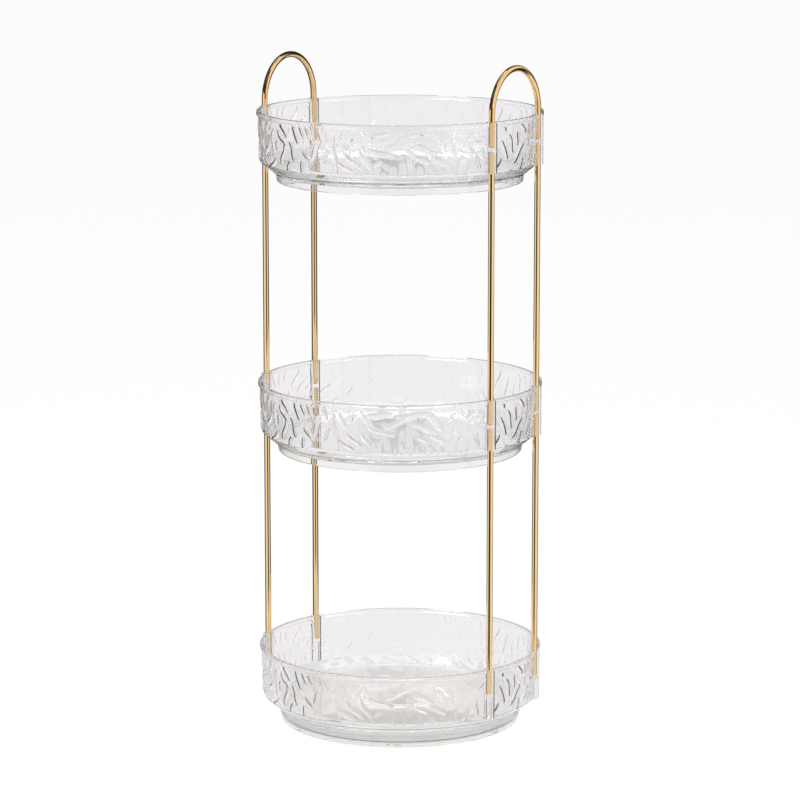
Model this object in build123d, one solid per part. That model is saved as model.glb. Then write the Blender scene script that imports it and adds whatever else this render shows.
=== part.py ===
from build123d import *
from math import asin, cos, degrees, radians, sin, sqrt
import os

# A tower of three round clear trays, held apart by gold rods, on a ball-bearing turntable.
# Millimetres, +Z up. The origin is the bottom centre, on the surface the tower stands on.
# The two hoop handles stand over -X (left) and +X (right), and -Y is the front.

# Tiers
tier_pitch = 224.0              # from one tray's rim to the next

# Tray moulding, the same on every tier
rim_radius = 117.5              # outside of the rim bead
rim_bead_height = 3.0
rim_bead_step = 1.6             # how far the bead stands out from the wall
wall_thickness = 2.4
wall_height = 41.0              # top of the rim to the bottom edge of the wall
wall_draft = 1.3                # the wall draws in by this on its way down
edge_chamfer = 0.6              # on the rim's edges and at the bottom of the wall
floor_drop = 4.0                # bottom edge of the wall to the inside floor
floor_thickness = 2.4
inside_step_height = 5.3        # the sloping ring between the wall and the flat floor
inside_step_run = 12.7          # how far in that ring reaches
cone_drop = 10.5                # height of the sloping band under the wall
cone_run = 13.1                 # how far in the band reaches, to the root of the foot ring
foot_height = 6.0
foot_draft = 0.6
foot_wall = 2.4

# Sockets moulded into the wall, four on each tray
socket_inset = 1.9              # the sockets' centres lie this far inside the rim's outer edge
hoop_width = 71.0               # between the two sockets that share a hoop, centre to centre
sleeve_radius = 4.5
socket_depth = 20.0             # blind hole from above
socket_web = 3.2                # solid plastic between the upper and the lower hole

# Gold metalwork
rod_radius = 2.5
rod_end_chamfer = 0.4
socket_clearance = 0.05         # on the radius, a push fit
hoop_rise = 39.8                # top of the rim to the hoop's centreline at its crown

# Turntable base
pad_stand = 0.8                 # the base hangs this far above the surface
base_inset = 2.5                # the base is this much smaller in radius than the foot ring's root
base_height = 4.7
base_plate = 2.4
base_rim_wall = 3.4
base_chamfer = 0.8
running_gap = 1.0               # between the base's rim and the foot of the bottom tray

# Ball bearing between the base and the bottom tray
race_radius = 36.0
race_width = 10.0
race_gap = 3.2                  # between the two races
ball_radius = 3.0
ball_count = 8
ball_clearance = 0.1            # between a ball and each flank of the grooves
cage_thickness = 2.0
cage_clearance = 0.2            # round each ball

# Pivot: a boss under the bottom tray turns in the base's hub
boss_radius = 6.0
journal_clearance = 0.08        # on the radius, a running fit
hub_wall = 3.0
hub_height = 11.5               # top of the hub above the surface
cup_depth = 3.2                 # recess in the underside for the washer and the screw head
cup_wall = 2.6
cup_roof = 1.8
washer_radius = 10.0
washer_thickness = 1.0
washer_side_clearance = 0.8
washer_gap = 0.3                # the base turns freely over the washer
screw_radius = 2.0
screw_grip = 9.0                # length of thread in the boss
screw_head_radius = 4.0
screw_head_height = 1.8
screw_clearance = 0.05
screw_tip_room = 0.6
screw_slot_width = 0.9
screw_slot_length = 4.4
screw_slot_depth = 1.0

# Non-slip pads in pockets under the base
pad_count = 6
pad_radius = 6.0
pad_thickness = 2.0
pad_inset = 14.0                # the pads' centres lie this far inside the base's edge
pad_clearance = 0.2

# Heights that follow, above the surface
base_top = pad_stand + base_height
foot_bottom = base_top + running_gap
bottom_rim = foot_bottom + foot_height + cone_drop + wall_height
middle_rim = bottom_rim + tier_pitch
top_rim = middle_rim + tier_pitch
plate_top = pad_stand + base_plate
floor_depth = wall_height + floor_drop
floor_underside = bottom_rim - floor_depth - floor_thickness
ball_height = (plate_top + floor_underside) / 2
cup_ceiling = pad_stand + cup_depth
boss_bottom = cup_ceiling - washer_gap
washer_bottom = boss_bottom - washer_thickness

# Radii and places that follow
wall_radius = rim_radius - rim_bead_step
wall_bottom_radius = wall_radius - wall_draft
inside_floor_radius = wall_bottom_radius - wall_thickness - inside_step_run
foot_radius = wall_bottom_radius - cone_run
base_radius = foot_radius - base_inset
pad_circle_radius = base_radius - pad_inset
socket_circle_radius = rim_radius - socket_inset
socket_y = hoop_width / 2
socket_x = sqrt(socket_circle_radius ** 2 - socket_y ** 2)
sides = {"left": -1, "right": 1}
ends = {"front": -1, "rear": 1}
stories = {"lower": (bottom_rim, middle_rim), "upper": (middle_rim, top_rim)}
socket_places = {
    f"{side}_{end}": (side_sign * socket_x, end_sign * socket_y)
    for side, side_sign in sides.items()
    for end, end_sign in ends.items()
}


def upright(radius, low, high, place=(0, 0)):
    """A vertical cylinder between two heights."""
    body = Cylinder(radius, high - low, align=(Align.CENTER, Align.CENTER, Align.MIN))
    return Pos(place[0], place[1], low) * body


def ring(inner, outer, low, high, place=(0, 0)):
    """A vertical tube between two heights."""
    return upright(outer, low, high, place) - upright(inner, low, high, place)


def around(count, radius):
    """Evenly spaced places on a circle."""
    step = radians(360 / count)
    return [(radius * cos(turn * step), radius * sin(turn * step)) for turn in range(count)]


def turned_section(points, corners=(), length=0):
    """A face in the XZ half-plane, with some of its corners chamfered."""
    face = make_face(Polyline([(x, 0, z) for x, z in points], close=True))
    for x, z in corners:
        face = chamfer(face.vertices().sort_by_distance((x, 0, z))[0], length)
    return face


def tray_shell(rim):
    """Wall, rim bead, sloping band, floor and foot ring, turned in one piece."""
    wall_bottom = rim - wall_height
    foot_root = wall_bottom - cone_drop
    foot_low = foot_root - foot_height
    floor_top = rim - floor_depth
    floor_low = floor_top - floor_thickness
    step_top = floor_top + inside_step_height
    step_share = (rim - step_top) / wall_height
    foot_low_radius = foot_radius - foot_draft
    foot_inside = foot_low_radius - foot_wall

    rim_inner = (wall_radius - wall_thickness, rim)
    rim_outer = (rim_radius, rim)
    bead_outer = (rim_radius, rim - rim_bead_height)
    wall_foot = (wall_bottom_radius, wall_bottom)
    section = turned_section(
        [
            (0, floor_top),
            (inside_floor_radius, floor_top),
            (wall_radius - wall_thickness - wall_draft * step_share, step_top),
            rim_inner,
            rim_outer,
            bead_outer,
            (wall_radius, rim - rim_bead_height),
            wall_foot,
            (foot_radius, foot_root),
            (foot_low_radius, foot_low),
            (foot_inside, foot_low),
            (foot_inside, floor_low),
            (0, floor_low),
        ],
        corners=(rim_inner, rim_outer, bead_outer, wall_foot),
        length=edge_chamfer,
    )
    return revolve(section, Axis.Z)


def socket_bores(rim, place):
    """The two blind holes of one sleeve."""
    bore = rod_radius + socket_clearance
    upper_floor = rim - socket_depth
    lower_roof = upper_floor - socket_web
    # The lower hole runs out past the sleeve and notches the edge of the sloping band.
    run_out = rim - wall_height - cone_drop
    return upright(bore, upper_floor, rim, place) + upright(bore, run_out, lower_roof, place)


def tray(rim):
    """One tray with its four sleeves."""
    body = tray_shell(rim)
    for place in socket_places.values():
        body += upright(sleeve_radius, rim - wall_height, rim, place)
    for place in socket_places.values():
        body -= socket_bores(rim, place)
    return body


def race_grooves():
    """The square-cornered V grooves that the balls run in, one in each race, as one diamond ring."""
    reach = (ball_radius + ball_clearance) * sqrt(2)
    section = turned_section(
        [
            (race_radius - reach, ball_height),
            (race_radius, ball_height - reach),
            (race_radius + reach, ball_height),
            (race_radius, ball_height + reach),
        ]
    )
    return revolve(section, Axis.Z)


def bottom_tray():
    """The lowest tray also carries the upper race and the pivot boss."""
    half_width = race_width / 2
    race_low = ball_height + race_gap / 2
    race = ring(race_radius - half_width, race_radius + half_width, race_low, floor_underside)
    boss = upright(boss_radius, boss_bottom, floor_underside)
    screw_tip = boss_bottom + screw_grip + screw_tip_room
    pilot = upright(screw_radius + screw_clearance, boss_bottom, screw_tip)
    return tray(bottom_rim) + (race - race_grooves()) + boss - pilot


def turntable_base():
    """The standing plate: rim, lower race, hub and the recesses in its underside."""
    rim_inside = base_radius - base_rim_wall
    top_edge = (base_radius, base_top)
    low_edge = (base_radius, pad_stand)
    inner_edge = (rim_inside, base_top)
    section = turned_section(
        [
            (0, pad_stand),
            low_edge,
            top_edge,
            inner_edge,
            (rim_inside, plate_top),
            (0, plate_top),
        ],
        corners=(top_edge, low_edge, inner_edge),
        length=base_chamfer,
    )
    body = revolve(section, Axis.Z)
    half_width = race_width / 2
    race_top = ball_height - race_gap / 2
    race = ring(race_radius - half_width, race_radius + half_width, plate_top, race_top)
    cup_inside = washer_radius + washer_side_clearance
    journal = boss_radius + journal_clearance
    body += race - race_grooves()
    body += upright(cup_inside + cup_wall, pad_stand, cup_ceiling + cup_roof)
    body += upright(journal + hub_wall, pad_stand, hub_height)
    body -= upright(cup_inside, pad_stand, cup_ceiling)
    body -= upright(journal, pad_stand, hub_height)
    for place in around(pad_count, pad_circle_radius):
        body -= upright(pad_radius + pad_clearance, pad_stand, pad_thickness, place)
    return body


def rod(low, high, place):
    """A straight rod with chamfered ends."""
    body = upright(rod_radius, low, high, place)
    return chamfer(body.edges().filter_by(GeomType.CIRCLE), rod_end_chamfer)


def hoop(side_sign):
    """A rod bent to a half circle, whose legs drop into the top tray's sockets."""
    x = side_sign * socket_x
    leg_low = top_rim - socket_depth
    spring = top_rim + hoop_rise - socket_y
    crown = top_rim + hoop_rise
    path = Line((x, -socket_y, leg_low), (x, -socket_y, spring))
    path += ThreePointArc((x, -socket_y, spring), (x, 0, crown), (x, socket_y, spring))
    path += Line((x, socket_y, spring), (x, socket_y, leg_low))
    body = sweep(Plane((x, -socket_y, leg_low)) * Circle(rod_radius), path)
    leg_ends = body.faces().sort_by(Axis.Z)[:2]
    return chamfer([edge for face in leg_ends for edge in face.edges()], rod_end_chamfer)


def ball_cage():
    """A flat ring with a round window for each ball."""
    half_width = race_width / 2
    low = ball_height - cage_thickness / 2
    high = ball_height + cage_thickness / 2
    body = ring(race_radius - half_width, race_radius + half_width, low, high)
    for place in around(ball_count, race_radius):
        body -= upright(ball_radius + cage_clearance, low, high, place)
    return body


def bearing_balls():
    """Balls, each in its own window of the cage."""
    places = around(ball_count, race_radius)
    return Compound([Pos(x, y, ball_height) * Sphere(ball_radius) for x, y in places])


def pivot_screw():
    """A pan-head screw driven up into the boss, with a cross recess."""
    head_low = washer_bottom - screw_head_height
    body = upright(screw_radius, washer_bottom, boss_bottom + screw_grip)
    body += upright(screw_head_radius, head_low, washer_bottom)
    slot = Box(screw_slot_length, screw_slot_width, screw_slot_depth)
    for turn in (0, 90):
        body -= Pos(0, 0, head_low + screw_slot_depth / 2) * Rot(0, 0, turn) * slot
    return body


def pivot_washer():
    """The washer that keeps the base on the boss."""
    return ring(screw_radius + screw_clearance, washer_radius, washer_bottom, boss_bottom)


nodes = {
    "turntable_base": turntable_base(),
    "bottom_tray": bottom_tray(),
    "middle_tray": tray(middle_rim),
    "top_tray": tray(top_rim),
    "ball_cage": ball_cage(),
    "bearing_balls": bearing_balls(),
    "pivot_washer": pivot_washer(),
    "pivot_screw": pivot_screw(),
}
for number, place in enumerate(around(pad_count, pad_circle_radius), start=1):
    nodes[f"non_slip_pad_{number}"] = upright(pad_radius, 0, pad_thickness, place)
for side, side_sign in sides.items():
    nodes[f"{side}_hoop_handle"] = hoop(side_sign)
for story, (lower_rim, upper_rim) in stories.items():
    for corner, place in socket_places.items():
        rod_low = lower_rim - socket_depth
        rod_high = upper_rim - socket_depth - socket_web
        nodes[f"{story}_rod_{corner}"] = rod(rod_low, rod_high, place)

os.makedirs("parts", exist_ok=True)
for name, shape in nodes.items():
    export_step(shape, f"parts/{name}.step")

print(f"{len(nodes)} nodes, rims at {bottom_rim}, {middle_rim} and {top_rim} mm")
print(f"hoops at {degrees(asin(socket_y / socket_circle_radius)):.1f} degrees either side of X")
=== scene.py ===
# %% [markdown]
# # A rotating makeup organizer in clear plastic and gold
# Three round trays with a rippled wall stand one above another on gold rods, and the tower turns on a
# clear base. The engineering model is loaded first and stays as it is. The rods, hoops, balls, cage, screw
# and pads are shown straight from it with better finishes, and only the four clear mouldings are modelled
# again here, because their ripple and their small rounded edges are what the eye sees in clear plastic.

# %% Load the engineering model
import math
import random

import bmesh
import bpy
import numpy as np
from mathutils import Matrix, Vector, noise


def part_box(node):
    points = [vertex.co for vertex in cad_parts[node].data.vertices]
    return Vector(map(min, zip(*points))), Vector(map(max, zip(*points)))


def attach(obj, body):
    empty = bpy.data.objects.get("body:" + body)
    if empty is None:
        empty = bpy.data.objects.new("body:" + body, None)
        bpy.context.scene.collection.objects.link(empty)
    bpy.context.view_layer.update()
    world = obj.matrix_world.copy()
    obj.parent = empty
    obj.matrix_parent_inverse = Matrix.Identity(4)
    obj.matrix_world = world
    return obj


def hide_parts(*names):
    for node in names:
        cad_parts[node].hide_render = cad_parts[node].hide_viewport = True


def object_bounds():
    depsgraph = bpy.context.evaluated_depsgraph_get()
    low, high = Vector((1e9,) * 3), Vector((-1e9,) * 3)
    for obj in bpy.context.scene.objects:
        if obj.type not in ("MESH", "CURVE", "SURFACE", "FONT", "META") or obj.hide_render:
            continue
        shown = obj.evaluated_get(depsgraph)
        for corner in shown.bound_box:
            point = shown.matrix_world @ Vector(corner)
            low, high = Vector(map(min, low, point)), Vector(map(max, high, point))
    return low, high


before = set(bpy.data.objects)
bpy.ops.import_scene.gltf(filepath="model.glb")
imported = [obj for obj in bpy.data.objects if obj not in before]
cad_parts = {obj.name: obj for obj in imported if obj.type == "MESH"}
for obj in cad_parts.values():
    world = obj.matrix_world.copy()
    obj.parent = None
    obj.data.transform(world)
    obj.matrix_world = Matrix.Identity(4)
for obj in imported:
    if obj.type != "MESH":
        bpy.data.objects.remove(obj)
cad_size = [list(corner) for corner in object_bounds()]
print("engineering model:", len(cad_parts), "nodes,", "corners", cad_size)

# %% [markdown]
# ## The camera
# The photograph was taken with a long lens from a little above the top tray, 33 degrees round to the
# right. Fitting a camera to the rims gave its distance, height and pitch. A camera could also be aimed
# with a constraint, but plain numbers keep the upright rods upright, as they are in the picture.

# %% Camera
CAMERA_AZIMUTH = math.radians(33.13)
CAMERA_DISTANCE = 2.953         # from the turning axis, in metres
CAMERA_HEIGHT = 0.837
CAMERA_PITCH = math.radians(10.855)
PICTURE_WIDTH = 800             # pixels
FOCAL_PIXELS = 3626.7
SENSOR_WIDTH = 36.0             # millimetres
MOST_BOUNCES = 48
CLEAR_BOUNCES = 32

lens = bpy.data.cameras.new("studio_camera")
lens.sensor_width = SENSOR_WIDTH
lens.lens = lens.sensor_width * FOCAL_PIXELS / PICTURE_WIDTH
camera = bpy.data.objects.new("studio_camera", lens)
camera.location = (
    CAMERA_DISTANCE * math.sin(CAMERA_AZIMUTH),
    -CAMERA_DISTANCE * math.cos(CAMERA_AZIMUTH),
    CAMERA_HEIGHT,
)
camera.rotation_euler = (math.pi / 2 - CAMERA_PITCH, 0, CAMERA_AZIMUTH)
bpy.context.scene.collection.objects.link(camera)
bpy.context.scene.camera = camera
bpy.context.scene.view_settings.view_transform = "Standard"

# A ray that enters a clear moulding is often turned back inside it many times before it leaves.
bpy.context.scene.cycles.max_bounces = MOST_BOUNCES
bpy.context.scene.cycles.glossy_bounces = CLEAR_BOUNCES
bpy.context.scene.cycles.transmission_bounces = CLEAR_BOUNCES
print(f"lens {lens.lens:.1f} mm at {CAMERA_DISTANCE} m")

# %% [markdown]
# ## A helper for shader sums
# A material's pattern is a chain of small nodes, and a chain is hard to read when every link is written
# out. The class below wraps one socket, so that `1 - mask * 0.3` adds the Math nodes by itself. Its
# method node makes any other node from its type, its settings and what goes into its sockets, and the
# short methods after it call node for what comes back in many materials.


# %% Shader helper
MM = 0.001


class Wire:
    """One output socket in a material's tree. It adds, subtracts and multiplies as a number does."""

    def __init__(self, tree, socket=None):
        self.tree = tree
        self.socket = socket

    def node(self, kind, settings, sockets, output=0):
        """Adds a node. A ramp's stops go under the setting 'stops', as pairs of place and grey."""
        made = self.tree.nodes.new(kind)
        for name, value in settings.items():
            if name == "stops":
                elements = made.color_ramp.elements
                while len(elements) < len(value):
                    elements.new(1.0)
                for element, (place, grey) in zip(elements, value):
                    element.position = place
                    element.color = (grey, grey, grey, 1.0)
            else:
                setattr(made, name, value)
        for name, value in sockets.items():
            if isinstance(value, Wire):
                self.tree.links.new(value.socket, made.inputs[name])
            else:
                made.inputs[name].default_value = value
        return Wire(self.tree, made.outputs[output] if len(made.outputs) else None)

    def maths(self, operation, first, second=0.0, clamped=False):
        """A Math node. Clamped, its result stays between 0 and 1."""
        return self.node("ShaderNodeMath", {"operation": operation, "use_clamp": clamped},
                         {0: first, 1: second})

    def blend(self, share, first, second):
        """A colour between two colours, each a wire or three numbers."""
        first, second = (part if isinstance(part, Wire) else (*part, 1) for part in (first, second))
        return self.node("ShaderNodeMix", {"data_type": "RGBA"}, {0: share, 6: first, 7: second}, output=2)

    def place(self):
        """Where a point is on its piece."""
        return self.node("ShaderNodeTexCoord", {}, {}, output=3)

    def grain(self, scale, detail):
        """A noise read at this place."""
        return self.node("ShaderNodeTexNoise", {}, {"Vector": self, "Scale": scale, "Detail": detail})

    def bump(self, strength, depth):
        """A normal that this wire makes uneven, with the depth in millimetres."""
        return self.node("ShaderNodeBump", {},
                         {"Strength": strength, "Distance": depth * MM, "Height": self})

    def __add__(self, other):
        return self.maths("ADD", self, other)

    __radd__ = __add__

    def __mul__(self, other):
        return self.maths("MULTIPLY", self, other)

    __rmul__ = __mul__

    def __sub__(self, other):
        return self.maths("SUBTRACT", self, other)

    def __rsub__(self, other):
        return self.maths("SUBTRACT", other, self)


def new_material(name, constants):
    """A material whose one shader has its constant sockets set. Returns it, its tree and its shader."""
    material = bpy.data.materials.new(name)
    material.use_nodes = True
    shader = material.node_tree.nodes["Principled BSDF"]
    for socket, value in constants.items():
        shader.inputs[socket].default_value = value
    return material, Wire(material.node_tree), shader


def bare_tree(owner):
    """The emptied node tree of a material or world that doesn't use the usual shader."""
    owner.use_nodes = True
    owner.node_tree.nodes.clear()
    return Wire(owner.node_tree)


def feed(shader, socket, wire):
    """Links a wire to one socket of a material's shader."""
    wire.tree.links.new(wire.socket, shader.inputs[socket])


print("shader helper ready")

# %% [markdown]
# ## The studio
# Clear plastic shows nothing of its own: it bends what stands round it. A white floor keeps the walls
# bright, and a sky with grey gaps between its bright screens gives the ripple something to bend. The
# background is white for the camera, while reflections and light through the plastic see the shaped sky,
# and the lamps light the rest at a plain level. The floor keeps a faint shadow, because a little of it is
# a real lit surface.

# %% Floor
FLOOR_RADIUS = 60.0             # metres
FLOOR_COLOUR = (0.86, 0.86, 0.855)
FLOOR_SEEN = (1.0, 1.0, 0.992)          # what the camera sees of it
FLOOR_THROUGH = (0.90, 0.89, 0.905)     # and what is seen of it in gloss and through plastic
SHADOW_SHARE = 0.10             # how much of the floor's brightness comes from the lamps


def to_object(name, shape):
    """A bmesh as an object at the origin."""
    data = bpy.data.meshes.new(name)
    shape.to_mesh(data)
    shape.free()
    made = bpy.data.objects.new(name, data)
    bpy.context.scene.collection.objects.link(made)
    return made


def ray_kinds(tree):
    """Two numbers, 0 or 1: is this a camera ray, and is it off a shiny or through a clear surface?"""
    path = tree.node("ShaderNodeLightPath", {}, {})
    outputs = path.socket.node.outputs
    names = ("Is Camera Ray", "Is Glossy Ray", "Is Transmission Ray")
    camera_ray, glossy_ray, clear_ray = (Wire(tree.tree, outputs[name]) for name in names)
    return camera_ray, glossy_ray + clear_ray


floor_shape = bmesh.new()
bmesh.ops.create_circle(floor_shape, cap_ends=True, segments=96, radius=FLOOR_RADIUS)
floor = to_object("floor", floor_shape)

floor_material = bpy.data.materials.new("white_floor")
tree = bare_tree(floor_material)
lit = tree.node("ShaderNodeBsdfDiffuse", {}, {"Color": (*FLOOR_COLOUR, 1)})
from_camera, from_shine = ray_kinds(tree)
glow = tree.node("ShaderNodeEmission", {}, {"Color": tree.blend(from_shine, FLOOR_SEEN, FLOOR_THROUGH)})
share = (from_camera + from_shine) * (1 - SHADOW_SHARE)
mixed = tree.node("ShaderNodeMixShader", {}, {0: share, 1: lit, 2: glow})
tree.node("ShaderNodeOutputMaterial", {}, {"Surface": mixed})
floor.data.materials.append(floor_material)
print("floor radius", FLOOR_RADIUS, "m")

# %% [markdown]
# The sky gets its pattern from two ramps: one over its height, and one over the way round. A gap is dark
# only where both say so. The way round is read twice in a full turn, so the two halves of the sky match.

# %% Sky
SKY_PLAIN = (0.80, 0.80, 0.81)  # what lights the rest

world = bpy.data.worlds.new("studio")
tree = bare_tree(world)
direction = tree.node("ShaderNodeTexCoord", {}, {}, output=0)
height = tree.node("ShaderNodeSeparateXYZ", {}, {"Vector": direction}, output=2)
shade = tree.node(
    "ShaderNodeValToRGB",
    {"stops": [(0.0, 0.10), (0.06, 0.20), (0.14, 1.0), (0.33, 1.0), (0.45, 0.15),
               (0.84, 0.35), (0.94, 0.95)]},
    {"Fac": height},
)
# The gaps stand in line with the camera, before and behind the object, and darker ones to its sides.
half_turn_start = CAMERA_AZIMUTH + math.radians(45)
turned = tree.node("ShaderNodeMapping", {"vector_type": "POINT"},
                   {"Vector": direction, "Rotation": (0.0, 0.0, -half_turn_start)})
around = tree.node("ShaderNodeTexGradient", {"gradient_type": "RADIAL"}, {"Vector": turned}, output=1)
half_turn = tree.maths("FRACT", around * 2)
gap = tree.node(
    "ShaderNodeValToRGB",
    {"stops": [(0.0, 0.22), (0.11, 0.18), (0.18, 0.18), (0.32, 0.18), (0.39, 0.22),
               (0.58, 0.25), (0.66, 0.92), (0.84, 0.92), (0.92, 0.25)]},
    {"Fac": half_turn},
)
sky = 1 - shade * gap
plain = tree.node("ShaderNodeBackground", {}, {"Color": (*SKY_PLAIN, 1)})
white = tree.node("ShaderNodeBackground", {}, {"Color": (1, 1, 1, 1)})
shaped = tree.node("ShaderNodeBackground", {}, {"Color": sky})
from_camera, from_shine = ray_kinds(tree)
seen = tree.node("ShaderNodeMixShader", {}, {0: from_shine, 1: plain, 2: shaped})
ends = tree.node("ShaderNodeMixShader", {}, {0: from_camera, 1: seen, 2: white})
tree.node("ShaderNodeOutputWorld", {}, {"Surface": ends})
bpy.context.scene.world = world
print("sky ready")


# %% Lamps
def softbox(name, azimuth, elevation, distance, size, power):
    """A square area lamp on a sphere round the object, aimed at its middle. Degrees, metres and watts."""
    lamp = bpy.data.lights.new(name, "AREA")
    lamp.energy = power
    lamp.size = size
    holder = bpy.data.objects.new(name, lamp)
    turn, tilt = math.radians(azimuth), math.radians(elevation)
    away = Vector((math.sin(turn) * math.cos(tilt), -math.cos(turn) * math.cos(tilt), math.sin(tilt)))
    middle = Vector((0, 0, cad_size[1][2] / 2))
    holder.location = middle + away * distance
    holder.rotation_euler = away.to_track_quat("Z", "Y").to_euler()
    bpy.context.scene.collection.objects.link(holder)


softbox("key_lamp", -20, 48, 2.2, 0.9, 16)
softbox("fill_lamp", 95, 35, 2.4, 1.2, 9)
softbox("back_lamp", 215, 55, 2.4, 1.2, 12)
print("three lamps")

# %% [markdown]
# Polished gold looks like gold only if it has something dark to mirror. Photographers stand dark cards
# round a shiny object for this, out of the picture. Here a ring of card does it, with a narrow dark band
# on the camera's side, for the dark line along a rod, and a wide one behind, for its dark edges and the
# thin lines of the trays' rims. Only reflections see the ring.

# %% Ring of cards
CARD_DISTANCE = 0.32
CARD_HEIGHT = 1.25
CARD_UPPER = 0.57               # over this the left half is dark, for the hoops


def raise_card(shape, height):
    """Turns the edges that lie in a bmesh into upright strips."""
    raised = bmesh.ops.extrude_edge_only(shape, edges=shape.edges[:])["geom"]
    raised_verts = [part for part in raised if isinstance(part, bmesh.types.BMVert)]
    bmesh.ops.translate(shape, verts=raised_verts, vec=(0, 0, height))


def stage_card(name, shape, seen_by, material, colour):
    """A card that glows in a colour of its material's bare tree, and that only one kind of ray sees."""
    card = to_object(name, shape)
    for kind in ("camera", "diffuse", "glossy", "transmission", "shadow"):
        setattr(card, "visible_" + kind, kind == seen_by)
    tree = Wire(material.node_tree)
    glow = tree.node("ShaderNodeEmission", {}, {"Color": colour})
    tree.node("ShaderNodeOutputMaterial", {}, {"Surface": glow})
    card.data.materials.append(material)
    return card


ring_shape = bmesh.new()
bmesh.ops.create_circle(ring_shape, segments=96, radius=CARD_DISTANCE)
raise_card(ring_shape, CARD_HEIGHT)

card_material = bpy.data.materials.new("banded_card")
tree = bare_tree(card_material)
place = tree.place()
turned = tree.node("ShaderNodeMapping", {"vector_type": "POINT"},
                   {"Vector": place, "Rotation": (0.0, 0.0, math.radians(90) - CAMERA_AZIMUTH)})
around = tree.node("ShaderNodeTexGradient", {"gradient_type": "RADIAL"}, {"Vector": turned}, output=1)
band = tree.node(
    "ShaderNodeValToRGB",
    {"stops": [(0.0, 0.03), (0.23, 0.03), (0.27, 1.0), (0.41, 1.0), (0.44, 0.03),
               (0.56, 0.03), (0.59, 1.0), (0.73, 1.0), (0.77, 0.03)]},
    {"Fac": around},
)
upper_band = tree.node(
    "ShaderNodeValToRGB",
    {"stops": [(0.0, 0.03), (0.50, 0.03), (0.545, 1.0), (0.81, 1.0), (0.86, 0.03)]},
    {"Fac": around},
)
card_height = tree.node("ShaderNodeSeparateXYZ", {}, {"Vector": place}, output=2)
upper_part = tree.maths("GREATER_THAN", card_height, CARD_UPPER)
card_colour = tree.blend(upper_part, band, upper_band)
card_ring = stage_card("card_ring", ring_shape, "glossy", card_material, card_colour)
print("card ring,", len(card_ring.data.polygons), "faces")

# %% [markdown]
# The middle of each front wall is greyer than the rest, with upright borders. There the floor of the tray
# mirrors something slim that stands straight behind it. A grey card far back does the same: the straight
# view through a wall meets the studio floor long before the card, and only the mirrored view rises to it.

# %% Slim card behind
SLIM_CARD_DISTANCE = 5.0
SLIM_CARD_LOW, SLIM_CARD_HIGH = 0.7, 2.1
SLIM_CARD_WIDTH = 0.15
SLIM_CARD_SHIFT = 0.010         # to the left
SLIM_CARD_GREY = (0.45, 0.45, 0.46, 1)

slim_shape = bmesh.new()
back = Vector((-math.sin(CAMERA_AZIMUTH), math.cos(CAMERA_AZIMUTH), 0))
leftward = Vector((-back.y, back.x, 0))
middle = back * SLIM_CARD_DISTANCE + leftward * SLIM_CARD_SHIFT + Vector((0, 0, SLIM_CARD_LOW))
ends = [slim_shape.verts.new(middle + leftward * side * SLIM_CARD_WIDTH / 2) for side in (-1, 1)]
slim_shape.edges.new(ends)
raise_card(slim_shape, SLIM_CARD_HIGH - SLIM_CARD_LOW)
grey_card = bpy.data.materials.new("grey_card")
bare_tree(grey_card)
stage_card("slim_card", slim_shape, "transmission", grey_card, SLIM_CARD_GREY)
print("slim card", SLIM_CARD_WIDTH, "m wide")

# %% [markdown]
# ## The section of a tray
# A round moulding is drawn as half a section and turned about its axis. The corners are rounded first, on
# the flat section, where a bevel of one corner is a clean arc. Modelling the round edges after the turning
# would work too, but it would bevel thousands of edges instead of a dozen corners.

# %% Tray sizes
TURN_STEPS = 504                # facets round a tray, and twice as many in the ripple
SECTORS = 12                    # a spin slows down steeply with its steps, so it makes a twelfth
RIM_BEAD_HEIGHT = 3.0
RIM_BEAD_STEP = 1.6
WALL_THICKNESS = 2.4
WALL_HEIGHT = 41.0
WALL_DRAFT = 1.3
FLOOR_DEPTH = 45.0
FLOOR_THICKNESS = 2.4
INSIDE_STEP_HEIGHT = 5.3
INSIDE_STEP_RUN = 12.7
CONE_DROP = 10.5
CONE_RUN = 13.1
FOOT_HEIGHT = 6.0
FOOT_DRAFT = 0.6
FOOT_WALL = 2.4
PLAIN_BAND = 4.0                # smooth strip between the top of the rim and the ripple
RIPPLE_ROW = 1.3                # spacing of the mesh rows in the rippled wall, before they are halved

rim_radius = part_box("top_tray")[1].x / MM
wall_radius = rim_radius - RIM_BEAD_STEP
wall_foot_radius = wall_radius - WALL_DRAFT
foot_radius = wall_foot_radius - CONE_RUN
inside_floor_radius = wall_foot_radius - WALL_THICKNESS - INSIDE_STEP_RUN
foot_inside = foot_radius - FOOT_DRAFT - FOOT_WALL
floor_low = -FLOOR_DEPTH - FLOOR_THICKNESS
print(f"rim radius {rim_radius:.1f} mm, foot radius {foot_radius:.1f} mm")


# %% Draw and turn a section
ON_AXIS = 1e-7                  # metres
MERGE_DISTANCE = 1e-6


def draw_section(corners):
    """A flat face from (radius, height, rounding) corners in millimetres, in the plane of X and Z."""
    section = bmesh.new()
    verts = [section.verts.new((radius * MM, 0, height * MM)) for radius, height, _ in corners]
    section.faces.new(verts)
    for vert, (_, _, rounding) in zip(verts, corners):
        if rounding:
            bmesh.ops.bevel(section, geom=[vert], offset=rounding * MM, offset_type="OFFSET",
                            affect="VERTICES", segments=3, profile=0.5, material=-1)
    return section


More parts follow.
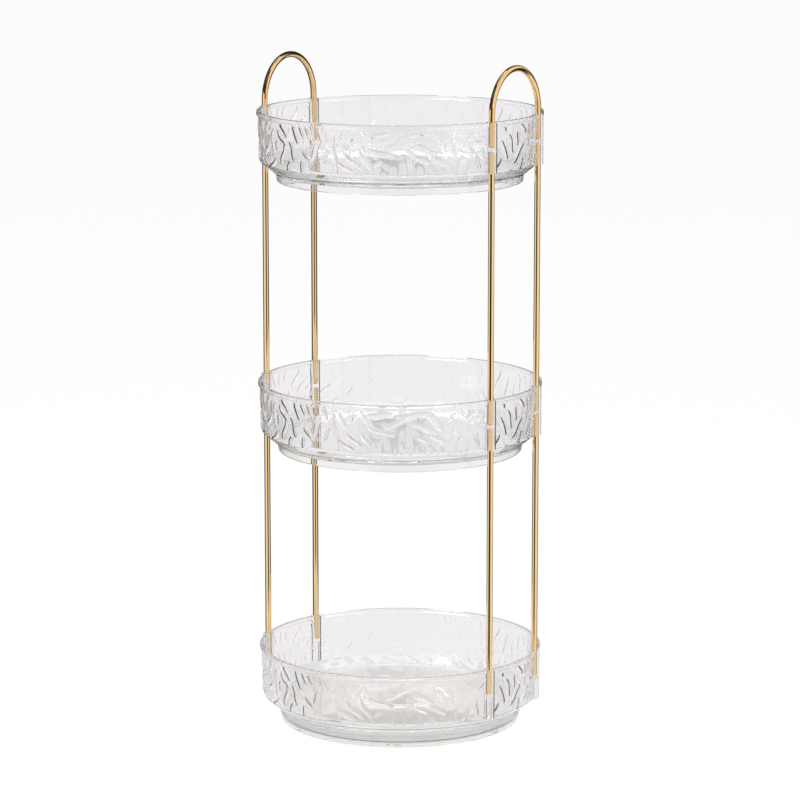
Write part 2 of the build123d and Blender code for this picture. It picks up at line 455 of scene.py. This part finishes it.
def turn_section(section, steps):
    """Turns the outline of a flat section a full turn about Z, and closes it at the axis."""
    bmesh.ops.delete(section, geom=section.faces[:], context="FACES_ONLY")
    on_axis = [edge for edge in section.edges if all(vert.co.x < ON_AXIS for vert in edge.verts)]
    bmesh.ops.delete(section, geom=on_axis, context="EDGES")
    sector_angle = 2 * math.pi / SECTORS
    bmesh.ops.spin(section, geom=section.verts[:] + section.edges[:], cent=(0, 0, 0), axis=(0, 0, 1),
                   angle=sector_angle, steps=steps // SECTORS, use_merge=False, use_duplicate=False)
    sector = section.verts[:] + section.edges[:] + section.faces[:]
    for number in range(1, SECTORS):
        copy = bmesh.ops.duplicate(section, geom=sector)["geom"]
        copied_verts = [part for part in copy if isinstance(part, bmesh.types.BMVert)]
        bmesh.ops.rotate(section, verts=copied_verts, cent=(0, 0, 0),
                         matrix=Matrix.Rotation(number * sector_angle, 3, "Z"))
    bmesh.ops.remove_doubles(section, verts=section.verts[:], dist=MERGE_DISTANCE)
    bmesh.ops.recalc_face_normals(section, faces=section.faces[:])
    return section


def tray_corners(underside):
    """The corners of a tray's section, with the top of its rim at height 0."""
    step_top = -FLOOR_DEPTH + INSIDE_STEP_HEIGHT
    step_share = -step_top / WALL_HEIGHT
    foot_root = -WALL_HEIGHT - CONE_DROP
    foot_low = foot_root - FOOT_HEIGHT
    return [
        (0, -FLOOR_DEPTH, 0),
        (inside_floor_radius, -FLOOR_DEPTH, 1.0),
        (wall_radius - WALL_THICKNESS - WALL_DRAFT * step_share, step_top, 1.0),
        (wall_radius - WALL_THICKNESS, 0, 0.6),
        (rim_radius, 0, 0.6),
        (rim_radius, -RIM_BEAD_HEIGHT, 0.6),
        (wall_radius, -RIM_BEAD_HEIGHT, 0.3),
        (wall_radius - WALL_DRAFT * PLAIN_BAND / WALL_HEIGHT, -PLAIN_BAND, 0),
        (wall_foot_radius, -WALL_HEIGHT, 0.5),
        (foot_radius, foot_root, 0.4),
        (foot_radius - FOOT_DRAFT, foot_low, 1.0),
        (foot_inside, foot_low, 1.0),
        (foot_inside, floor_low, 0.4),
    ] + underside


plain_underside = [(0, floor_low, 0)]
print("section has", len(tray_corners(plain_underside)), "corners")

# %% [markdown]
# ## The ripple
# The outside of each wall is moulded in well over a hundred short ridges, like strokes of a thick brush,
# with the plain wall between them. It is real relief, up to a millimetre high, and a bump in the material
# would not do: light crosses the wall twice and bends where the surface really slopes. A noise texture
# could drive the relief too, but its ridges close into rings and have no ends. Here each ridge is a bent
# line with a width, drawn on the wall rolled out flat. Two dozen on the camera's side are listed one by one,
# and the rest are thrown at random and kept only where they clear the ones before. All three trays come
# from one mould, so they share one pattern.

# %% Lines of the ridges
RIDGE_STEP = 1.2                # between the points of a ridge's line, in millimetres
RIDGE_SWING = 2.6               # radians of the wave that a line follows to each side of its middle
RIDGE_HOOK = 0.5                # and the share of a plain bow in it
WALL_LENGTH = 2 * math.pi * wall_radius
CAMERA_SIDE = math.degrees(CAMERA_AZIMUTH) - 90

# (degrees round from the camera side, depth under the rim, length, lean from upright, width, bend)
FRONT_RIDGES = [
    (-8, 8, 18, -86, 4.0, 0.6), (5, 8, 23, -88, 3.7, 1.2), (-1, 14, 21, -75, 3.6, 1.4),
    (-8, 22, 21, 71, 3.8, 0.8), (10, 19, 19, 73, 3.8, -1.0), (4, 22, 8, 26, 2.8, 0.4),
    (-9, 31, 7, -57, 2.6, 0.2), (-9, 36, 7, -14, 2.8, 0.2), (-14, 12, 14, 24, 3.4, 0.7),
    (-14, 29, 21, 23, 3.4, 1.6), (-19, 30, 19, 43, 3.6, 1.4), (-22, 35, 16, 54, 3.4, 1.0),
    (13, 11, 16, 53, 4.0, -1.2), (15, 18, 9, 32, 3.0, 0.3), (15, 28, 15, 50, 3.7, 1.0),
    (9, 28, 10, 74, 2.8, -0.6), (4, 31, 17, -2, 3.2, 0.8), (-27, 24, 30, 1, 3.4, 1.6),
    (-31, 26, 11, -34, 3.0, 0.6), (-36, 22, 19, -32, 3.4, 1.2), (-40, 28, 12, 40, 3.2, 0.6),
    (-55, 16, 16, 38, 3.6, 1.4), (-54, 29, 16, -12, 3.6, -1.4), (-62, 20, 20, -6, 3.4, 1.6),
]


def ridge_line(middle, depth, length, lean, bend):
    """Points along a bent line on the wall rolled out flat, as an array of (along, up) in millimetres."""
    share = np.linspace(-1, 1, max(3, round(length / RIDGE_STEP)))
    turn = math.radians(lean)
    onward = share * (length / 2)
    aside = bend * (np.sin(share * RIDGE_SWING) + RIDGE_HOOK * share * share)
    along = middle + onward * math.sin(turn) + aside * math.cos(turn)
    up = -depth - onward * math.cos(turn) + aside * math.sin(turn)
    return np.stack([along, up], axis=1)


print(len(FRONT_RIDGES), "ridges placed by eye")

# %% Plan the ridges
RIDGE_SEED = 11
RIDGE_TRIES = 1500
RIDGE_GAP = 1.9                 # plain wall between two ridges, in millimetres
RIDGE_LENGTHS = (14, 22)
RIDGE_SHORTENING = 0.7          # share that the last tries lose, to fill the places left between
RIDGE_WIDTHS = (3.0, 4.4)
RIDGE_BEND = 1.8
RIDGE_TAPER = 0.7               # how much slimmer a ridge is at its ends
LEAN_DRIFT = 80                 # degrees by which neighbours lean together
LEAN_SCATTER = 38               # and by which each leans on its own
DRIFT_ROUND, DRIFT_DEPTH = 2.2, 25


def round_the_wall(difference):
    """The shorter way round between two places along the wall."""
    return (difference + WALL_LENGTH / 2) % WALL_LENGTH - WALL_LENGTH / 2


def throw_ridge(draw, number):
    """The place and form of one random ridge, in the order of a row of FRONT_RIDGES."""
    middle = draw.uniform(0, WALL_LENGTH)
    depth = draw.uniform(PLAIN_BAND, WALL_HEIGHT)
    length = draw.uniform(*RIDGE_LENGTHS) * (1 - RIDGE_SHORTENING * number / RIDGE_TRIES)
    angle = middle / wall_radius
    drift = noise.noise(Vector((
        math.cos(angle) * DRIFT_ROUND, math.sin(angle) * DRIFT_ROUND, depth / DRIFT_DEPTH)))
    lean = LEAN_DRIFT * drift + draw.uniform(-LEAN_SCATTER, LEAN_SCATTER)
    width = draw.uniform(*RIDGE_WIDTHS)
    return middle, depth, length, lean, width, draw.uniform(-RIDGE_BEND, RIDGE_BEND)


def clearance(ridge, taken):
    """The least plain wall between a ridge and those already there."""
    across = round_the_wall(ridge[:, None, 0] - taken[None, :, 0])
    apart = np.hypot(across, ridge[:, None, 1] - taken[None, :, 1])
    return (apart - ridge[:, None, 2] - taken[None, :, 2]).min()


def plan_ridges():
    """Every ridge as an array of (along, up, half width, side). Side says which way its crest leans."""
    draw = random.Random(RIDGE_SEED)
    ridges, taken = [], np.empty((0, 4))
    for number in range(len(FRONT_RIDGES) + RIDGE_TRIES):
        by_eye = number < len(FRONT_RIDGES)
        if by_eye:
            azimuth, depth, length, lean, width, bend = FRONT_RIDGES[number]
            middle = math.radians(CAMERA_SIDE + azimuth) * wall_radius
        else:
            middle, depth, length, lean, width, bend = throw_ridge(draw, number)
        line = ridge_line(middle, depth, length, lean, bend)
        taper = width / 2 * np.sqrt(1 - RIDGE_TAPER * np.linspace(-1, 1, len(line)) ** 2)
        ridge = np.column_stack([line, taper, np.full(len(line), math.copysign(1, lean))])
        if by_eye or clearance(ridge, taken) >= RIDGE_GAP:
            ridges.append(ridge)
            taken = np.vstack([taken, ridge])
    return ridges


ridges = plan_ridges()
print(len(ridges), "ridges")

# %% [markdown]
# Each ridge is a low roof with its crest nearer its upper side, so most of its width is one even slope that
# faces down. An even slope turns all the light that meets it by the same angle, and the eye then sees a
# ridge as one clean bright stroke. Wide ridges are taller than narrow ones, because the slope is the same.

# %% Press the ridges
RIDGE_SLOPE = 0.42              # rise over run of the long side
CREST = 0.45                    # place of the crest: 0 is the middle of the ridge, 1 its upper side
END_SLOPE = 1.5                 # how steeply a ridge falls past its ends
RIDGE_REACH = 4                 # no ridge reaches further from its line than this, in millimetres
FADE = 1.6                      # over this height the ridges die out at the top and bottom of the wall
CREST_ROUNDS = 2                # passes of smoothing over crests and feet, which no mould has sharp


def ridge_heights(along, up):
    """Height in millimetres at each place on the wall rolled out flat."""
    height = np.zeros(len(along))
    for ridge in ridges:
        for (start, start_up, start_half, side), (end, end_up, end_half, _) in zip(ridge[:-1], ridge[1:]):
            across, above = round_the_wall(along - start), up - start_up
            near = np.nonzero((np.abs(across) < RIDGE_REACH) & (np.abs(above) < RIDGE_REACH))[0]
            run, rise = end - start, end_up - start_up
            length = math.hypot(run, rise)
            share = (across[near] * run + above[near] * rise) / length ** 2
            past = np.maximum(np.maximum(-share, share - 1), 0) * length
            half = start_half + np.clip(share, 0, 1) * (end_half - start_half)
            off = side * (above[near] * run - across[near] * rise) / length
            roof = np.minimum(off + half, (half - off) * (1 + CREST) / (1 - CREST))
            height[near] = np.maximum(height[near], (roof - END_SLOPE * past) * RIDGE_SLOPE)
    return height


def press_ripple(shell):
    """Moves the points of the outside wall outwards along their radius."""
    wall = []
    for vert in shell.verts:
        plain = wall_radius + WALL_DRAFT * vert.co.z / MM / WALL_HEIGHT
        outside = vert.co.xy.length / MM > plain - WALL_THICKNESS / 2
        if -WALL_HEIGHT < vert.co.z / MM < -PLAIN_BAND and outside:
            wall.append(vert)
    along = np.array([math.atan2(vert.co.y, vert.co.x) * wall_radius for vert in wall])
    up = np.array([vert.co.z / MM for vert in wall])
    fade = np.clip(np.minimum(-PLAIN_BAND - up, up + WALL_HEIGHT) / FADE, 0, 1)
    for vert, shift in zip(wall, ridge_heights(along, up) * fade):
        radius = vert.co.xy.length
        vert.co.xy *= (radius + float(shift) * MM) / radius
    for _ in range(CREST_ROUNDS):
        bmesh.ops.smooth_vert(shell, verts=wall, factor=0.5,
                              use_axis_x=True, use_axis_y=True, use_axis_z=False)
    return len(wall)


# %% Turn the trays
LONG_EDGE = 20                  # the outside wall is the one edge out there that is longer than this
WALL_MARGIN = 0.2
ROW_MARGIN = 0.01


def tray_shell(underside):
    """A rippled tray without its sleeves, as a bmesh with the top of its rim at height 0."""
    section = draw_section(tray_corners(underside))
    wall = [edge for edge in section.edges
            if min(vert.co.x for vert in edge.verts) > (wall_foot_radius - WALL_MARGIN) * MM
            and abs(edge.verts[0].co.z - edge.verts[1].co.z) > LONG_EDGE * MM]
    rows = round((WALL_HEIGHT - PLAIN_BAND) / RIPPLE_ROW)
    bmesh.ops.subdivide_edges(section, edges=wall, cuts=rows)
    shell = turn_section(section, TURN_STEPS)
    in_ripple = {vert for vert in shell.verts
                 if -WALL_HEIGHT * MM < vert.co.z < -(PLAIN_BAND - ROW_MARGIN) * MM
                 and vert.co.xy.length > (wall_foot_radius - WALL_MARGIN) * MM}
    bmesh.ops.subdivide_edges(shell, cuts=1, use_grid_fill=True,
                              edges=[edge for edge in shell.edges if set(edge.verts) <= in_ripple])
    print("moved", press_ripple(shell), "points of the wall,", len(shell.faces), "faces")
    return shell


plain_shell = tray_shell(plain_underside)

# %% [markdown]
# ## Sleeves and sockets
# Four thick sleeves are moulded into each wall to hold the rods: one blind hole from above, one from
# below, and a web of plastic between them, which shows as a bright joint in the gold. They are united
# with the wall and drilled, because clear plastic shows every surface that is left inside it.

# %% Sleeves
SLEEVE_RADIUS = 4.5
SOCKET_DEPTH = 20.0
SOCKET_WEB = 3.2
SOCKET_CLEARANCE = 0.05
SLEEVE_STEPS = 64
SLEEVE_ROUNDING = 0.5
END_EDGE_ANGLE = math.radians(60)       # only a sleeve's end edges are sharper than this
OVERCUT = 1                             # how far a drill starts outside what it cuts

rods = sorted(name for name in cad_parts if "_rod_" in name)
rod_low, rod_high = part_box(rods[0])
rod_radius = (rod_high.x - rod_low.x) / 2 / MM
socket_places = [(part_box(name)[0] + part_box(name)[1]) / 2 / MM for name in rods if name.startswith("upper")]
bore = rod_radius + SOCKET_CLEARANCE


def upright(shape, place, radius, low, high):
    """Adds a closed upright cylinder to a bmesh, in millimetres."""
    height = high - low
    centre = Matrix.Translation(Vector((place.x, place.y, low + height / 2)) * MM)
    bmesh.ops.create_cone(shape, cap_ends=True, segments=SLEEVE_STEPS, matrix=centre, depth=height * MM,
                          radius1=radius * MM, radius2=radius * MM)


def sleeves():
    """Four solid cylinders as tall as the wall, with their end edges rounded."""
    shape = bmesh.new()
    for place in socket_places:
        upright(shape, place, SLEEVE_RADIUS, -WALL_HEIGHT, 0)
    rims = [edge for edge in shape.edges
            if edge.is_manifold and edge.calc_face_angle(0) > END_EDGE_ANGLE]
    bmesh.ops.bevel(shape, geom=rims, offset=SLEEVE_ROUNDING * MM, offset_type="OFFSET",
                    affect="EDGES", segments=3, profile=0.5, material=-1)
    return shape


def drills():
    """The two blind holes of all four sleeves, as separate closed solids."""
    holes = bmesh.new()
    for place in socket_places:
        upright(holes, place, bore, -SOCKET_DEPTH, OVERCUT)
        upright(holes, place, bore, -WALL_HEIGHT - CONE_DROP, -SOCKET_DEPTH - SOCKET_WEB)
    return holes


print(len(socket_places), "sleeves, for rods of radius", round(rod_radius, 2), "mm")

# %% Join, drill and shade a piece
CREASE = math.radians(40)


def combine(target, tool, operation):
    """Unites a second mesh with an object, or cuts it out, and keeps only the result."""
    cut = target.modifiers.new(operation, "BOOLEAN")
    cut.object = tool
    cut.operation = operation
    cut.solver = "MANIFOLD"
    graph = bpy.context.evaluated_depsgraph_get()
    result = bpy.data.meshes.new_from_object(target.evaluated_get(graph))
    target.modifiers.clear()
    old = target.data
    target.data = result
    result.name = target.name
    bpy.data.meshes.remove(old)
    bpy.data.objects.remove(tool)


def soften(piece):
    """Smooth shading, sharp at edges over the crease angle, and true on large flat faces."""
    shape = bmesh.new()
    shape.from_mesh(piece.data)
    for face in shape.faces:
        face.smooth = True
    for edge in shape.edges:
        edge.smooth = not edge.is_manifold or edge.calc_face_angle(0) < CREASE
    shape.to_mesh(piece.data)
    shape.free()
    weigh = piece.modifiers.new("weighted_normals", "WEIGHTED_NORMAL")
    weigh.mode = "FACE_AREA"
    weigh.weight = 100
    weigh.keep_sharp = True


def finish_tray(name, node, shell):
    """Adds the sleeves and sockets to a shell, and puts it where the engineering model has the tray."""
    tray = to_object(name, shell)
    combine(tray, to_object("sleeves", sleeves()), "UNION")
    combine(tray, to_object("holes", drills()), "DIFFERENCE")
    tray.data.transform(Matrix.Translation((0, 0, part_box(node)[1].z)))
    soften(tray)
    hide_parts(node)
    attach(tray, "carousel")
    tray.visible_shadow = False
    tray.data.calc_loop_triangles()
    print(name, "has", len(tray.data.loop_triangles), "triangles")
    return tray


trays = [
    finish_tray("top_tray_clear", "top_tray", plain_shell.copy()),
    finish_tray("middle_tray_clear", "middle_tray", plain_shell.copy()),
]
plain_shell.free()

# %% [markdown]
# ## The lowest tray
# It is the same moulding with a ring and a boss under its floor. The balls run in a V groove in the ring,
# and the boss turns in the base. They are turned with the rest of the section, so nothing has to be joined.

# %% Bottom tray
BALL_CLEARANCE = 0.1
RACE_WIDTH = 10.0
RACE_GAP = 3.2
BOSS_RADIUS = 6.0
SCREW_HOLE = 2.05
SCREW_HOLE_DEPTH = 9.6

bottom_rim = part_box("bottom_tray")[1].z / MM
cage_low, cage_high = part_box("ball_cage")
ball_height = (cage_low.z + cage_high.z) / 2 / MM
race_radius = cage_high.x / MM - RACE_WIDTH / 2
race_inside, race_outside = race_radius - RACE_WIDTH / 2, race_radius + RACE_WIDTH / 2
ball_low, ball_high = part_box("bearing_balls")
groove_reach = ((ball_high.z - ball_low.z) / 2 / MM + BALL_CLEARANCE) * math.sqrt(2)
groove_half = groove_reach - RACE_GAP / 2
boss_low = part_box("pivot_washer")[1].z / MM


def lowered(corners):
    """Corners given above the ground, as heights under the bottom tray's rim."""
    return [(radius, height - bottom_rim, rounding) for radius, height, rounding in corners]


race_low = ball_height + RACE_GAP / 2
floor_underside = floor_low + bottom_rim
bearing_underside = lowered([
    (race_outside, floor_underside, 0.3),
    (race_outside, race_low, 0.3),
    (race_radius + groove_half, race_low, 0),
    (race_radius, ball_height + groove_reach, 0),
    (race_radius - groove_half, race_low, 0),
    (race_inside, race_low, 0.3),
    (race_inside, floor_underside, 0.3),
    (BOSS_RADIUS, floor_underside, 0.4),
    (BOSS_RADIUS, boss_low, 0.3),
    (SCREW_HOLE, boss_low, 0),
    (SCREW_HOLE, boss_low + SCREW_HOLE_DEPTH, 0),
    (0, boss_low + SCREW_HOLE_DEPTH, 0),
])
trays.append(finish_tray("bottom_tray_clear", "bottom_tray", tray_shell(bearing_underside)))

# %% [markdown]
# ## The turntable base
# A low clear plate with a thicker rim stands on six soft pads. Its section holds the rim, the lower race,
# the hub and the recess for the washer, and the pads' pockets are drilled afterwards.

# %% Base
BASE_PLATE = 2.4
BASE_RIM_HEIGHT = 4.7
BASE_RIM_WALL = 3.4
CUP_DEPTH = 3.2
CUP_WALL = 2.6
CUP_ROOF = 1.8
WASHER_ROOM = 0.8
JOURNAL_CLEARANCE = 0.08
HUB_WALL = 3.0
PAD_CLEARANCE = 0.2
BASE_STEPS = 480

base_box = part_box("turntable_base")
base_radius, base_low, hub_top = base_box[1].x / MM, base_box[0].z / MM, base_box[1].z / MM
base_top = base_low + BASE_RIM_HEIGHT
plate_top = base_low + BASE_PLATE
cup_ceiling = base_low + CUP_DEPTH
cup_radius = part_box("pivot_washer")[1].x / MM + WASHER_ROOM
journal = BOSS_RADIUS + JOURNAL_CLEARANCE
race_top = ball_height - RACE_GAP / 2
base_section = draw_section([
    (journal, cup_ceiling, 0),
    (cup_radius, cup_ceiling, 0.2),
    (cup_radius, base_low, 0.2),
    (base_radius, base_low, 0.8),
    (base_radius, base_top, 0.8),
    (base_radius - BASE_RIM_WALL, base_top, 0.6),
    (base_radius - BASE_RIM_WALL, plate_top, 0.4),
    (race_outside, plate_top, 0.3),
    (race_outside, race_top, 0.3),
    (race_radius + groove_half, race_top, 0),
    (race_radius, ball_height - groove_reach, 0),
    (race_radius - groove_half, race_top, 0),
    (race_inside, race_top, 0.3),
    (race_inside, plate_top, 0.3),
    (cup_radius + CUP_WALL, plate_top, 0.3),
    (cup_radius + CUP_WALL, cup_ceiling + CUP_ROOF, 0.3),
    (journal + HUB_WALL, cup_ceiling + CUP_ROOF, 0.3),
    (journal + HUB_WALL, hub_top, 0.3),
    (journal, hub_top, 0.3),
])
base = to_object("turntable_base_clear", turn_section(base_section, BASE_STEPS))

pads = sorted(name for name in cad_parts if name.startswith("non_slip_pad"))
pockets = bmesh.new()
for name in pads:
    low, high = (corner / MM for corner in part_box(name))
    upright(pockets, (low + high) / 2, (high.x - low.x) / 2 + PAD_CLEARANCE, -OVERCUT, high.z)
combine(base, to_object("pockets", pockets), "DIFFERENCE")
soften(base)
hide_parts("turntable_base")
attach(base, "base")
base.visible_shadow = False
print("base radius", round(base_radius, 1), "mm, with", len(pads), "pads")

# %% [markdown]
# ## Clear plastic
# Polished acrylic-like plastic: fully see-through, bending light by 1.49, with the faintest lavender in
# the trays and a little green in the base. The small differences in tint between the three trays are
# painted shade. So is the darker colour on each tray's cone, and so is the dark line painted along the top
# of the base's rim, for the shade in the gap under the lowest tray. A fine waviness from the mould and a few
# softer patches keep the flat faces from looking like perfect glass. At the sides of a wall the real ripple
# has dark strokes, where a slope leans away from the viewer. Ray tracing alone leaves them pale, so a
# painted shade darkens the colour there. Two Layer Weight nodes find such slopes from any side: one sees
# the real surface, and one the smooth round wall. This follows the viewer, so an exported model, which has
# one colour for all views, can't show it.

# %% Painted shade on the edges
EDGE_FROM, EDGE_FULL = 0.34, 0.46   # facing values between which glancing slopes go dark
LEAN_FROM, LEAN_FULL = 0.03, 0.09   # how much further than the round wall such a slope is turned away
RIM_FROM, RIM_FULL = 0.64, 0.84     # facing values between which any upright face goes half dark
RIM_SHARE = 0.5
UPRIGHT_LIMIT = 0.5                 # the most that an upright face's normal points up or down


def ramp_up(value, start, full):
    """0 up to one value of a wire, 1 from another on, and even between them."""
    return value.maths("MULTIPLY", value - start, 1 / (full - start), clamped=True)


def painted_edge_shade(tree):
    """How much painted shade the edges get, from 0 to 1, on upright faces that turn away from the viewer."""
    facing = tree.node("ShaderNodeLayerWeight", {}, {"Blend": 0.5}, output=1)
    position = tree.node("ShaderNodeNewGeometry", {}, {}, output=0)
    level = tree.node("ShaderNodeVectorMath", {"operation": "MULTIPLY"}, {0: position, 1: (1, 1, 0)})
    round_normal = tree.node("ShaderNodeVectorMath", {"operation": "NORMALIZE"}, {0: level})
    round_facing = tree.node("ShaderNodeLayerWeight", {}, {"Blend": 0.5, "Normal": round_normal}, output=1)
    glancing = ramp_up(facing, EDGE_FROM, EDGE_FULL)
    leaning = ramp_up(facing - round_facing, LEAN_FROM, LEAN_FULL)
    last_edge = ramp_up(facing, RIM_FROM, RIM_FULL)
    normal = tree.node("ShaderNodeNewGeometry", {}, {}, output=1)
    rise = tree.node("ShaderNodeSeparateXYZ", {}, {"Vector": normal}, output=2)
    is_upright = tree.maths("LESS_THAN", tree.maths("ABSOLUTE", rise), UPRIGHT_LIMIT)
    return tree.maths("MAXIMUM", glancing * leaning, last_edge * RIM_SHARE) * is_upright


# %% Clear plastics
# the colour of the painted shade on the glancing edges of the walls
EDGE_PAINTED_SHADE = (0.01, 0.01, 0.012)
WARM_CLOUD = (1.01, 1.005, 0.985)   # what the tint is multiplied by in the warmer patches
HAZE = 0.03                         # the most roughness that the softer patches have
WAVE_DEPTH = 0.03
SATIN_ROUGHNESS = 0.38


def clear_plastic(name, tint, painted_band_shade, band_low, band_high, band_cone, satin):
    """Clear plastic with a painted shade, a darker colour, between two heights above the ground, in
    millimetres.

    The painted shade stays outside a cone, given by its radius at the upper height and its widening per
    millimetre.
    Satin gives a radius and a height, inside and under which the surface is finely textured."""
    material, tree, shader = new_material(name, {
        "Transmission Weight": 1.0,
        "IOR": 1.49,
    })
    place = tree.place()
    height = tree.node("ShaderNodeSeparateXYZ", {}, {"Vector": place}, output=2) * (1 / MM)
    level = tree.node("ShaderNodeVectorMath", {"operation": "MULTIPLY"},
                      {0: place, 1: (1 / MM, 1 / MM, 0)})
    radius = tree.node("ShaderNodeVectorMath", {"operation": "LENGTH"}, {0: level}, output=1)
    cloud = place.grain(22.0, 2.0)
    clouded = tree.blend(cloud, tint, [part * warm for part, warm in zip(tint, WARM_CLOUD)])
    above_low = tree.maths("ADD", height, -band_low, clamped=True)
    under_high = tree.maths("SUBTRACT", band_high, height, clamped=True)
    cone_radius, widening = band_cone
    outside = tree.maths("GREATER_THAN", radius - height * widening, cone_radius - band_high * widening)
    # painted shade between the two heights, outside the cone
    colour = tree.blend(above_low * under_high * outside, clouded, painted_band_shade)
    # the base colour is darkened by painted shade where the edges glance away from the viewer
    feed(shader, "Base Color", tree.blend(painted_edge_shade(tree), colour, EDGE_PAINTED_SHADE))
    inside = tree.maths("LESS_THAN", radius, satin[0])
    under = tree.maths("LESS_THAN", height, satin[1])
    feed(shader, "Roughness", cloud * HAZE + inside * under * SATIN_ROUGHNESS)
    feed(shader, "Normal", place.grain(60.0, 1.0).bump(1.0, WAVE_DEPTH))
    return material


def coat(piece, material):
    """Gives a piece its one material."""
    piece.data.materials.clear()
    piece.data.materials.append(material)


# %% Plastic of the trays and the base
# the faint lavender is the plastic's own colour; the small differences between the trays, darkest on the top
# tray, are painted shade
TRAY_TINTS_AND_PAINTED_SHADE = [(0.955, 0.948, 0.962), (0.966, 0.960, 0.972), (0.968, 0.958, 0.960)]
# painted shade: a darker colour on the outside of each tray's cone, deeper on the higher trays
CONE_PAINTED_SHADES = [(0.62, 0.65, 0.625), (0.68, 0.71, 0.685), (0.74, 0.76, 0.745)]
CONE_LOWEST = [0, 0, FOOT_HEIGHT]   # the lowest tray's foot gets the painted shade too
SATIN_UNDER = [0, 0, floor_underside + 0.2]     # only the underside of the lowest tray is satin
BASE_TINT = (0.86, 0.865, 0.855)
# painted shade: a dark line along the top of the base's rim, for the shade in the gap under the lowest tray's
# foot
BASE_GAP_PAINTED_SHADE = (0.06, 0.06, 0.06)
BASE_BAND_BELOW, BASE_BAND_ABOVE = 1.05, 1.5    # how far the painted shade of the gap under the lowest tray reaches from the rim's top
MARGIN = 1                          # a painted shade or satin ends this far off the surfaces that it is for

for tray, tint, cone_shade, lower, satin in zip(trays, TRAY_TINTS_AND_PAINTED_SHADE, CONE_PAINTED_SHADES, CONE_LOWEST, SATIN_UNDER):
    cone_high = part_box(tray.name.removesuffix("_clear"))[1].z / MM - WALL_HEIGHT
    coat(tray, clear_plastic(
        tray.name + "_finish", tint, cone_shade, cone_high - CONE_DROP - lower, cone_high,
        (wall_foot_radius - MARGIN, CONE_RUN / CONE_DROP), (foot_inside - MARGIN, satin)))
base_inside = base_radius - BASE_RIM_WALL - MARGIN
coat(base, clear_plastic(
    "base_finish", BASE_TINT, BASE_GAP_PAINTED_SHADE, base_top - BASE_BAND_BELOW, base_top + BASE_BAND_ABOVE,
    (base_inside, 0), (base_inside, hub_top + MARGIN)))
print("clear plastics on", len(trays) + 1, "mouldings")

# %% [markdown]
# ## Gold rods and hoops
# The rods are steel tube with a bright gold plating. A metal shader with a warm colour does it, with faint
# drawing lines along the tube and patches that are slightly less polished.

# %% Gold
LENGTHWISE = (900.0, 900.0, 6.0)    # stretches a noise into lines along an upright rod
GOLD_ROUGHNESS = 0.05
DULLER, DEEPER = 0.06, 0.93         # what a patch adds to the roughness and multiplies the colour by
LINE_ROUGHNESS = 0.02


def gold(name, colour):
    """Polished plating with fine drawing lines and slightly duller, deeper patches."""
    material, tree, shader = new_material(name, {"Metallic": 1.0})
    place = tree.place()
    lines = tree.node("ShaderNodeMapping", {}, {"Vector": place, "Scale": LENGTHWISE}).grain(1.0, 2.0)
    patch = place.grain(35.0, 3.0)
    feed(shader, "Roughness", GOLD_ROUGHNESS + patch * DULLER + lines * LINE_ROUGHNESS)
    feed(shader, "Base Color", tree.blend(patch, colour, [part * DEEPER for part in colour]))
    feed(shader, "Normal", lines.bump(0.2, 0.01))
    return material


def dress(names, material):
    """Puts a material on engineering nodes, which keep their meshes."""
    for name in names:
        coat(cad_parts[name], material)


hoops = [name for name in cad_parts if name.endswith("hoop_handle")]
dress(rods, gold("gold_rod_finish", (0.92, 0.68, 0.36)))
dress(hoops, gold("gold_hoop_finish", (0.92, 0.62, 0.28)))
print("gold on", len(rods), "rods and", len(hoops), "hoops")

# %% [markdown]
# ## Bearing, screw and pads
# Small parts that show only dimly through the plastic still get what they are made of: white acetal
# balls, a milky moulded cage, zinc-plated washer and screw, and soft translucent pads.

# %% Small parts
STEEL_GRAIN, STEEL_SHADE = 0.10, 0.88       # added to the roughness, and multiplied into the colour
MILKY_GRAIN, MILKY_SHADE = 0.12, 0.94


def steel(name, colour, roughness):
    """Dull plated steel with a fine grain in its colour and roughness."""
    material, tree, shader = new_material(name, {"Metallic": 1.0})
    grain = tree.place().grain(400.0, 2.0)
    feed(shader, "Roughness", roughness + grain * STEEL_GRAIN)
    feed(shader, "Base Color", tree.blend(grain, colour, [part * STEEL_SHADE for part in colour]))
    return material


def milky(name, colour, roughness, depth):
    """Plastic or rubber that lets light in a little way, with a fine grain of a depth in millimetres."""
    material, tree, shader = new_material(name, {"Subsurface Weight": 0.2, "Subsurface Scale": 2 * MM})
    grain = tree.place().grain(700.0, 3.0)
    feed(shader, "Base Color", tree.blend(grain, colour, [part * MILKY_SHADE for part in colour]))
    feed(shader, "Roughness", roughness + grain * MILKY_GRAIN)
    feed(shader, "Normal", grain.bump(0.5, depth))
    return material


dress(["bearing_balls"], milky("ball_acetal_finish", (0.90, 0.90, 0.89), 0.18, 0.005))
dress(["pivot_washer"], steel("washer_steel_finish", (0.72, 0.72, 0.73), 0.28))
dress(["pivot_screw"], steel("screw_steel_finish", (0.70, 0.70, 0.72), 0.25))
dress(["ball_cage"], milky("cage_plastic_finish", (0.88, 0.88, 0.87), 0.45, 0.02))
dress(pads, milky("pad_rubber_finish", (0.84, 0.85, 0.84), 0.55, 0.05))
print("small parts finished")
